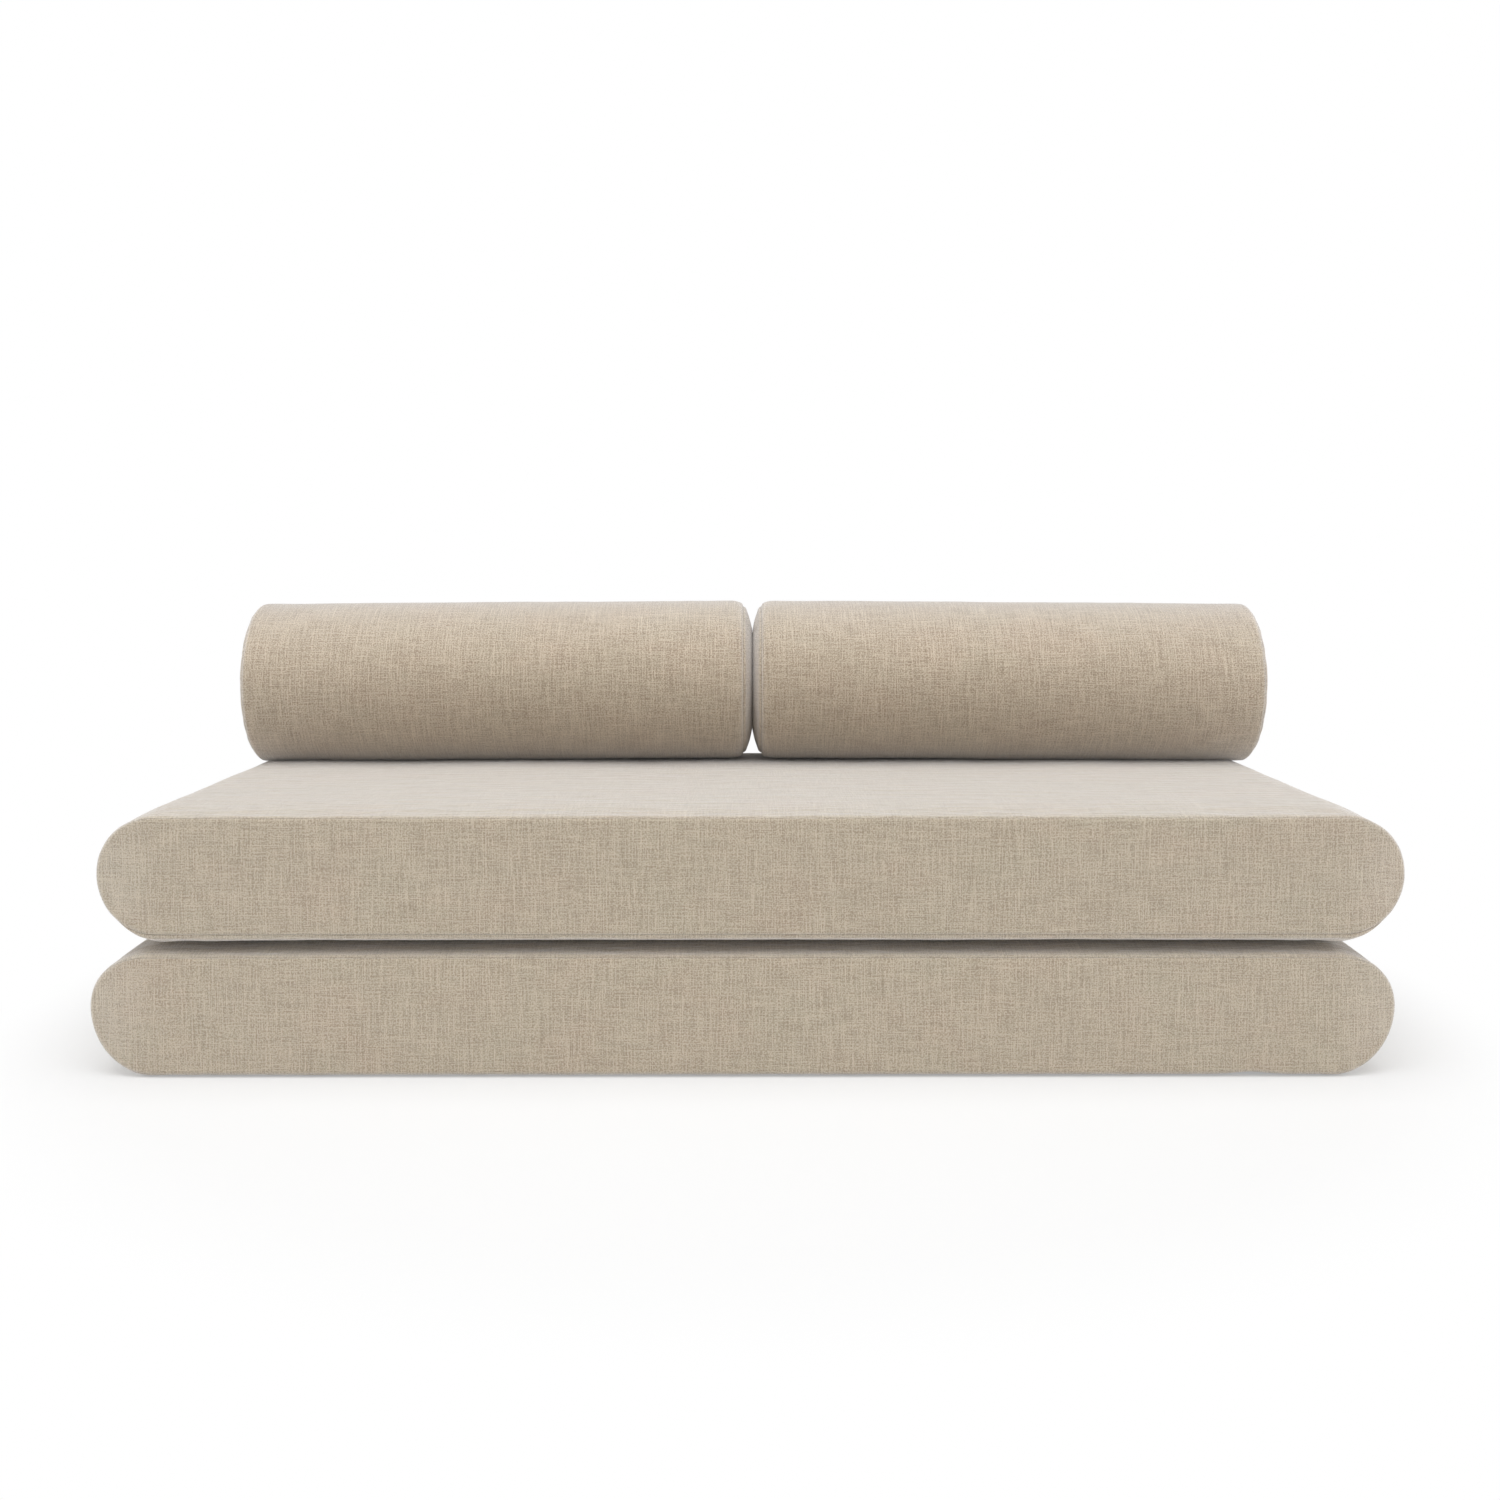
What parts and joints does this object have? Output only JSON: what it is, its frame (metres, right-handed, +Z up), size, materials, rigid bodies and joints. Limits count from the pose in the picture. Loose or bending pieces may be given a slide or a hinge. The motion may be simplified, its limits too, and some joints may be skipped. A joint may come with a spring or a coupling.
{
  "type": "sofa bed",
  "caption": "Low sofa bed of stacked round-ended foam mattresses in slubby beige cloth, hinged along the rear to fold out flat, with loose bolsters as a backrest.",
  "frame": {"origin": "on the floor under the middle of the whole part", "axes": "+X along the sofa, +Y to the rear, +Z up"},
  "size_m": [2.012, 0.8043, 0.7041],
  "materials": {
    "cover_fabric": "slubby chenille weave, soft sheen",
    "base_cloth": "dark anti-slip cloth",
    "hinge_cloth": "folded strip of the cover cloth",
    "foam": "cut foam, matte",
    "zip_tape": "woven tape, matte",
    "zip_coil": "nylon coil, satin",
    "zip_metal": "satin nickel"
  },
  "bodies": {
    "lower_mattress": {"hinge_strip": "hinge_cloth", "lower_base_panel": "base_cloth", "lower_cover_front": "cover_fabric", "lower_cover_rear": "cover_fabric", "lower_cover_wrap": "cover_fabric", "lower_foam_core": "foam", "lower_foam_sleep_layer": "foam", "lower_zip_chain": "zip_coil", "lower_zip_stops": "zip_metal", "lower_zip_tapes": "zip_tape"},
    "upper_mattress": {"upper_cover_front": "cover_fabric", "upper_cover_rear": "cover_fabric", "upper_cover_wrap": "cover_fabric", "upper_foam_core": "foam", "upper_foam_seat_layer": "foam", "upper_foam_sleep_layer": "foam", "upper_zip_chain": "zip_coil", "upper_zip_stops": "zip_metal", "upper_zip_tapes": "zip_tape"},
    "left_bolster": {"bolster_left_cover_inner_end": "cover_fabric", "bolster_left_cover_outer_end": "cover_fabric", "bolster_left_cover_tube": "cover_fabric", "bolster_left_foam_core": "foam", "bolster_left_zip_chain": "zip_coil", "bolster_left_zip_stops": "zip_metal", "bolster_left_zip_tapes": "zip_tape"},
    "right_bolster": {"bolster_right_cover_inner_end": "cover_fabric", "bolster_right_cover_outer_end": "cover_fabric", "bolster_right_cover_tube": "cover_fabric", "bolster_right_foam_core": "foam", "bolster_right_zip_chain": "zip_coil", "bolster_right_zip_stops": "zip_metal", "bolster_right_zip_tapes": "zip_tape"},
    "bolster_left_pull_body": {"bolster_left_zip_pull": "zip_metal"},
    "bolster_left_slider_body": {"bolster_left_zip_slider": "zip_metal"},
    "bolster_right_pull_body": {"bolster_right_zip_pull": "zip_metal"},
    "bolster_right_slider_body": {"bolster_right_zip_slider": "zip_metal"},
    "lower_pull_body": {"lower_zip_pull": "zip_metal"},
    "lower_slider_body": {"lower_zip_slider": "zip_metal"},
    "upper_pull_body": {"upper_zip_pull": "zip_metal"},
    "upper_slider_body": {"upper_zip_slider": "zip_metal"}
  },
  "joints": [
    {"name": "fold", "type": "hinge", "parent": "lower_mattress", "child": "upper_mattress", "pos_m": [0, 0.4019, 0.20465], "axis": [-1, 0, 0], "range_deg": [0, 180], "deforming": ["hinge_strip"]},
    {"name": "left_bolster_carry", "type": "hinge", "parent": "upper_mattress", "child": "left_bolster", "pos_m": [0, -0.36044, 0.66779], "axis": [1, 0, 0], "range_deg": [0, 290.25]},
    {"name": "right_bolster_carry", "type": "hinge", "parent": "upper_mattress", "child": "right_bolster", "pos_m": [0, -0.36044, 0.66779], "axis": [1, 0, 0], "range_deg": [0, 290.25]},
    {"name": "lower_zip_slide", "type": "slide", "parent": "lower_mattress", "child": "lower_slider_body", "axis": [-1, 0, 0], "range_m": [0, 1.484]},
    {"name": "lower_zip_pull_swing", "type": "hinge", "parent": "lower_slider_body", "child": "lower_pull_body", "pos_m": [0.736, 0.401, 0.0675], "axis": [0, 0, -1], "range_deg": [0, 180]},
    {"name": "upper_zip_slide", "type": "slide", "parent": "upper_mattress", "child": "upper_slider_body", "axis": [-1, 0, 0], "range_m": [0, 1.484]},
    {"name": "upper_zip_pull_swing", "type": "hinge", "parent": "upper_slider_body", "child": "upper_pull_body", "pos_m": [0.748, 0.401, 0.2708], "axis": [0, 0, -1], "range_deg": [0, 180]},
    {"name": "bolster_left_zip_slide", "type": "slide", "parent": "left_bolster", "child": "bolster_left_slider_body", "axis": [-1, 0, 0], "range_m": [0, 0.764]},
    {"name": "bolster_left_zip_pull_swing", "type": "hinge", "parent": "bolster_left_slider_body", "child": "bolster_left_pull_body", "pos_m": [-0.077, 0.40023, 0.5561], "axis": [0, 0, -1], "range_deg": [0, 180]},
    {"name": "bolster_right_zip_slide", "type": "slide", "parent": "right_bolster", "child": "bolster_right_slider_body", "axis": [-1, 0, 0], "range_m": [0, 0.764]},
    {"name": "bolster_right_zip_pull_swing", "type": "hinge", "parent": "bolster_right_slider_body", "child": "bolster_right_pull_body", "pos_m": [0.861, 0.40023, 0.5561], "axis": [0, 0, -1], "range_deg": [0, 180]}
  ],
  "couplings": [
    {"joint": "left_bolster_carry", "follows": "fold", "ratio": 1.6124},
    {"joint": "right_bolster_carry", "follows": "fold", "ratio": 1.6124}
  ]
}
